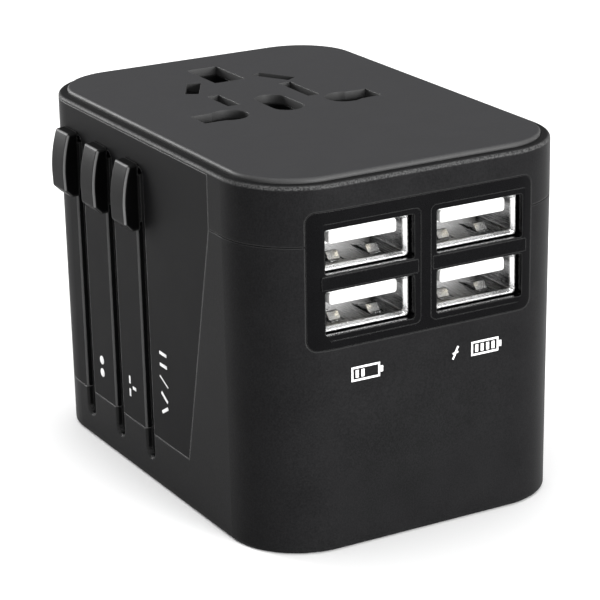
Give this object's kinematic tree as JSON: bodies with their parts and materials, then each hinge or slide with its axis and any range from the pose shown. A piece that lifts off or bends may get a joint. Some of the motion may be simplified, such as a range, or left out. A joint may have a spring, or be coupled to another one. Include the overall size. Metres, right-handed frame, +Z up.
{
  "type": "universal travel adapter",
  "caption": "Rounded black block that turns any mains plug to fit a foreign wall socket, with slide-out pin sets worked by side knobs, a multi-pattern socket on top and USB charging ports.",
  "frame": {"origin": "centre of the body's resting face, where the pin sets come out", "axes": "+Z up to the socket face, -Y out of the USB face, -X out of the slider face"},
  "size_m": [0.0532, 0.071, 0.0531],
  "materials": {
    "shell_black": "fine moulded grain, satin black",
    "plate_charcoal": "even matte charcoal",
    "panel_black": "fine moulded grain, satin black",
    "knob_black": "satin black with soft edges",
    "fascia_smoke": "smoked gloss",
    "port_steel": "bright plated steel",
    "tongue_white": "white moulded plastic",
    "contact_gold": "gold-flashed",
    "inner_grey": "plain moulded dark grey",
    "carriage_black": "glass-filled nylon",
    "brass": "rolled brass strip",
    "pin_nickel": "nickel-plated brass",
    "sleeve_black": "insulating sleeve",
    "screw_steel": "zinc-plated steel",
    "spring_steel": "spring wire",
    "board_green": "solder mask on glass-fibre board",
    "ferrite": "sintered ferrite",
    "coil_tape": "polyester winding tape",
    "can_aluminium": "sleeved can",
    "chip_black": "moulded package",
    "clear_guide": "clear acrylic",
    "fuse_glass": "glass tube with plated caps",
    "fuse_clip": "spring brass"
  },
  "bodies": {
    "root": {"charge_controller": "chip_black", "charger_board": "board_green", "contact_block": "inner_grey", "earth_bus_bar": "brass", "earth_contact": "brass", "fuse": "fuse_glass", "fuse_clips": "fuse_clip", "housing_screws": "screw_steel", "indicator_leds": "clear_guide", "input_capacitor": "can_aluminium", "light_guide": "clear_guide", "line_bus_bar": "brass", "line_contact": "brass", "lower_housing": "shell_black", "neutral_bus_bar": "brass", "neutral_contact": "brass", "output_capacitors": "can_aluminium", "pin_face_plate": "plate_charcoal", "shutter_springs": "spring_steel", "slider_guide": "inner_grey", "slider_side_panel": "panel_black", "socket_insert": "inner_grey", "socket_plate": "plate_charcoal", "transformer_coil": "coil_tape", "transformer_core": "ferrite", "upper_cap": "shell_black", "usb_contacts": "contact_gold", "usb_fascia": "fascia_smoke", "usb_shell_1": "port_steel", "usb_shell_2": "port_steel", "usb_shell_3": "port_steel", "usb_shell_4": "port_steel", "usb_tongue_1": "tongue_white", "usb_tongue_2": "tongue_white", "usb_tongue_3": "tongue_white", "usb_tongue_4": "tongue_white"},
    "eu_slider": {"eu_carriage": "carriage_black", "eu_knob": "knob_black", "eu_pin_left": "pin_nickel", "eu_pin_right": "pin_nickel", "eu_pin_sleeves": "sleeve_black", "eu_wipers": "brass"},
    "uk_slider": {"uk_carriage": "carriage_black", "uk_earth_pin": "pin_nickel", "uk_knob": "knob_black", "uk_pin_left": "pin_nickel", "uk_pin_right": "pin_nickel", "uk_pin_sleeves": "sleeve_black", "uk_wipers": "brass"},
    "us_slider": {"us_carriage": "carriage_black", "us_knob": "knob_black", "us_wipers": "brass"},
    "blade_left": {"us_blade_left": "pin_nickel"},
    "blade_right": {"us_blade_right": "pin_nickel"},
    "shutter_body": {"shutter": "inner_grey"}
  },
  "joints": [
    {"name": "eu_slide", "type": "slide", "parent": "root", "child": "eu_slider", "axis": [0, 0, -1], "range_m": [0, 0.03]},
    {"name": "uk_slide", "type": "slide", "parent": "root", "child": "uk_slider", "axis": [0, 0, -1], "range_m": [0, 0.03]},
    {"name": "us_slide", "type": "slide", "parent": "root", "child": "us_slider", "axis": [0, 0, -1], "range_m": [0, 0.03]},
    {"name": "us_blade_left_turn", "type": "hinge", "parent": "us_slider", "child": "blade_left", "pos_m": [-0.00745, 0.00035, 0.0325], "axis": [0, 0, 1], "range_deg": [-30, 0]},
    {"name": "us_blade_right_turn", "type": "hinge", "parent": "us_slider", "child": "blade_right", "pos_m": [0.00525, 0.00035, 0.0325], "axis": [0, 0, 1], "range_deg": [0, 30]},
    {"name": "shutter_slide", "type": "slide", "parent": "root", "child": "shutter_body", "axis": [0, -1, 0], "range_m": [0, 0.0062], "stiffness_N_per_m": 60, "springref_m": -0.003, "deforming": ["shutter_springs"]}
  ]
}
